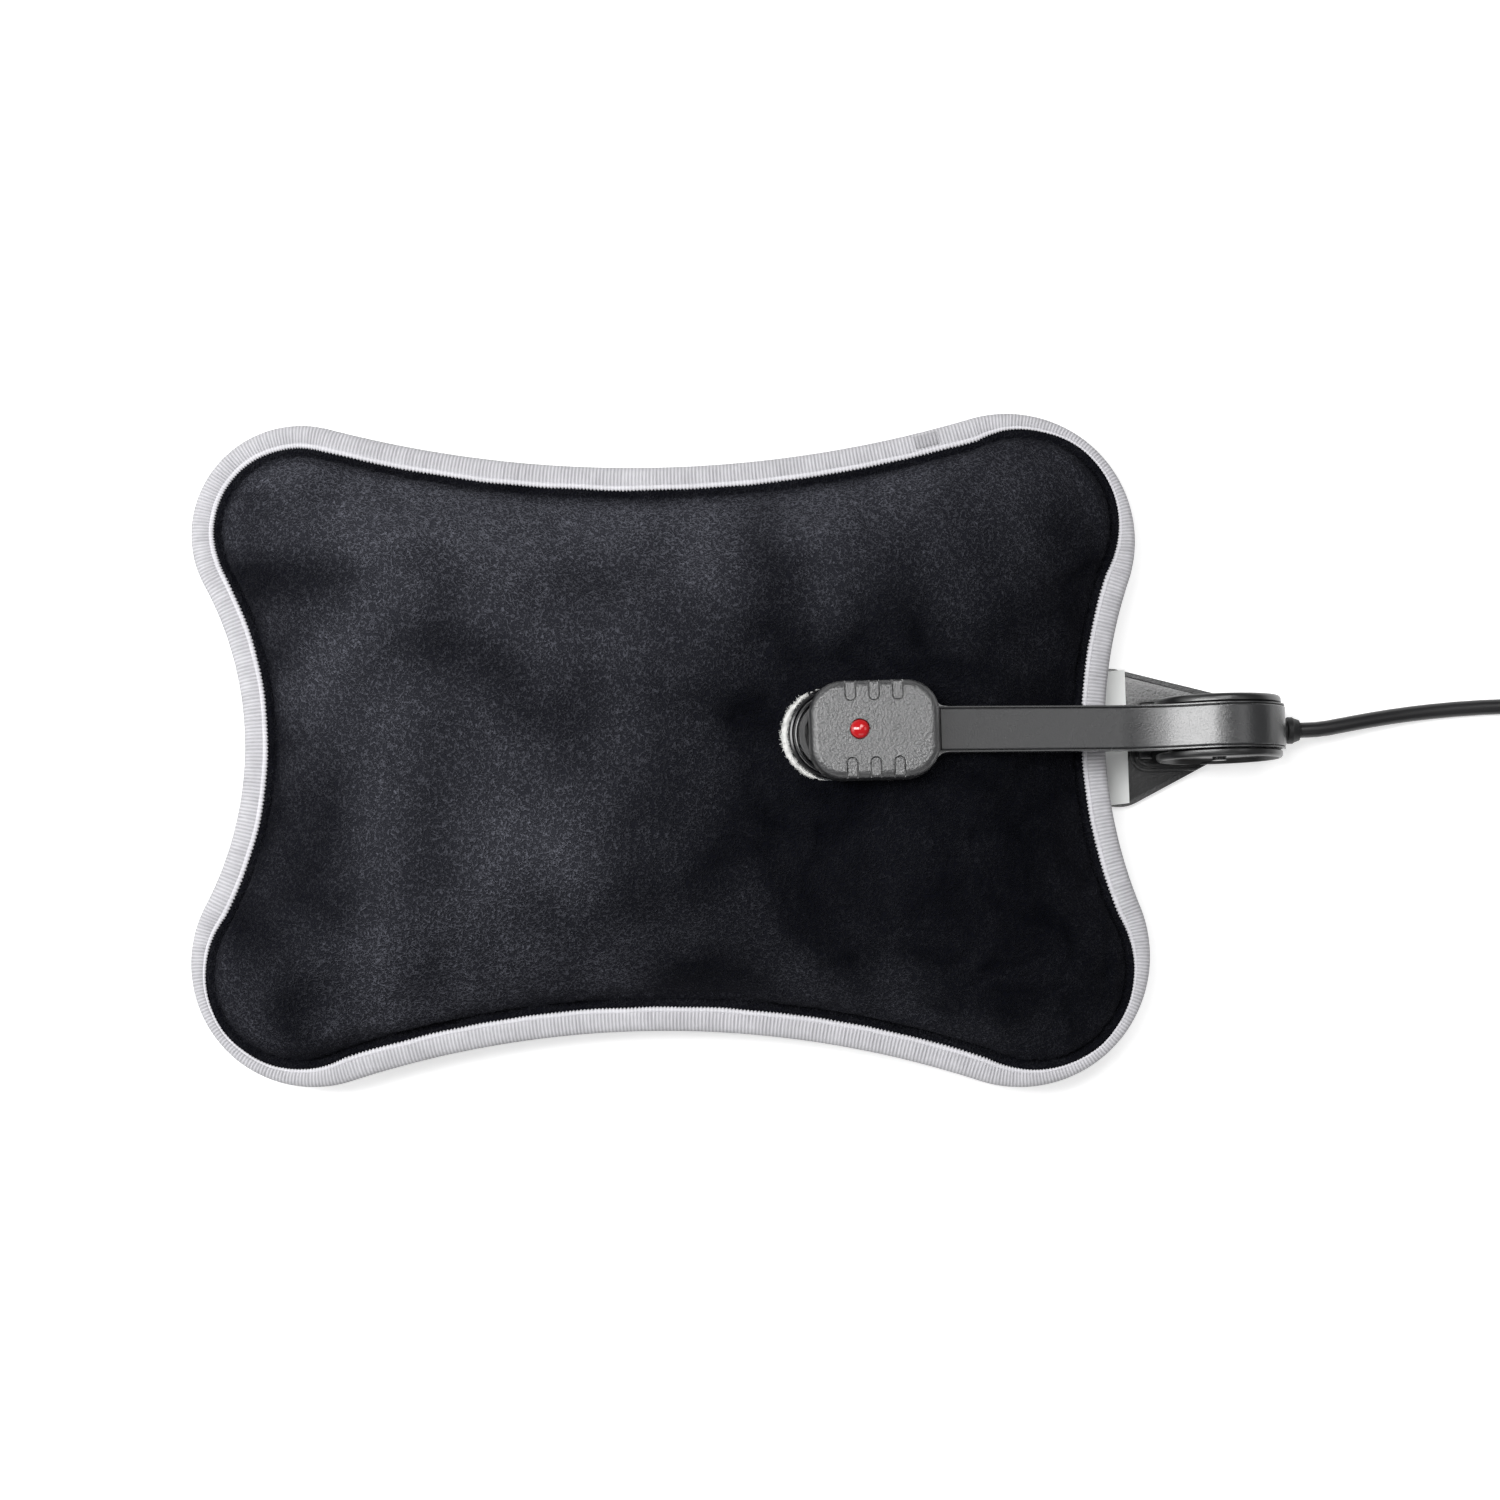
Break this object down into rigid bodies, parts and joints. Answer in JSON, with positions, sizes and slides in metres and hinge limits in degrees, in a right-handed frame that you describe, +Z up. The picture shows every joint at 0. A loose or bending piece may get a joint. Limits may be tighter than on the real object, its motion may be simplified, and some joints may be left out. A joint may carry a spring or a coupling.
{
  "type": "electric hot water bottle",
  "caption": "Plush covered rechargeable hot water bottle, lying flat, with its spring clamp charger closed on the oval charging port and the mains cord coiled beside it.",
  "frame": {"origin": "centre of the bag's outline, on the floor plane under the bag", "axes": "+X along the bag's length from its middle to the clamp's hinge, +Y across the bag, +Z up"},
  "size_m": [0.4657, 0.1957, 0.0597],
  "materials": {
    "plush": "matte",
    "trim": "matte",
    "fluff": "matte",
    "liner": "satin",
    "water": "gloss",
    "satin_plastic": "satin",
    "black_plastic": "satin",
    "pale_plastic": "satin",
    "soft_rubber": "matte",
    "cord_jacket": "satin",
    "brass": "polished",
    "steel": "satin",
    "ceramic": "matte",
    "red_lens": "gloss",
    "clear_lamp": "gloss",
    "circuit_board": "matte"
  },
  "bodies": {
    "bag_and_lower_jaw": {"cover_top": "plush", "cover_bottom": "plush", "opening_rim": "fluff", "edge_binding": "trim", "bladder": "liner", "water_fill": "water", "port_lip": "black_plastic", "port_gasket": "soft_rubber", "port_cup": "black_plastic", "contact_pin_live": "brass", "contact_pin_earth": "brass", "contact_pin_neutral": "brass", "heater_cage": "ceramic", "heating_element": "steel", "thermal_cutout": "ceramic", "base_plate": "satin_plastic", "jaw_paddle": "pale_plastic", "hinge_housing": "satin_plastic", "side_disc_left": "satin_plastic", "side_disc_right": "satin_plastic", "hinge_pin": "steel", "torsion_spring": "steel", "strain_relief": "soft_rubber", "cord": "cord_jacket", "cord_coil": "cord_jacket", "plug_body": "cord_jacket", "plug_pin_a": "steel", "plug_pin_b": "steel"},
    "upper_jaw": {"jaw_frame": "satin_plastic", "arm_strip": "satin_plastic", "arm_leads": "soft_rubber", "head_cover": "satin_plastic", "indicator_lens": "red_lens", "indicator_lamp": "clear_lamp", "lamp_board": "circuit_board", "contact_leaf_live": "brass", "contact_leaf_earth": "brass", "contact_leaf_neutral": "brass"}
  },
  "joints": [
    {"name": "jaw_hinge", "type": "hinge", "parent": "bag_and_lower_jaw", "child": "upper_jaw", "pos_m": [0.1547, 0.00605, 0.0216], "axis": [-0.0279, 0.9996, 0], "range_deg": [0, 22], "stiffness_Nm_per_rad": 0.12, "springref_deg": -28.65, "deforming": ["torsion_spring"]}
  ]
}
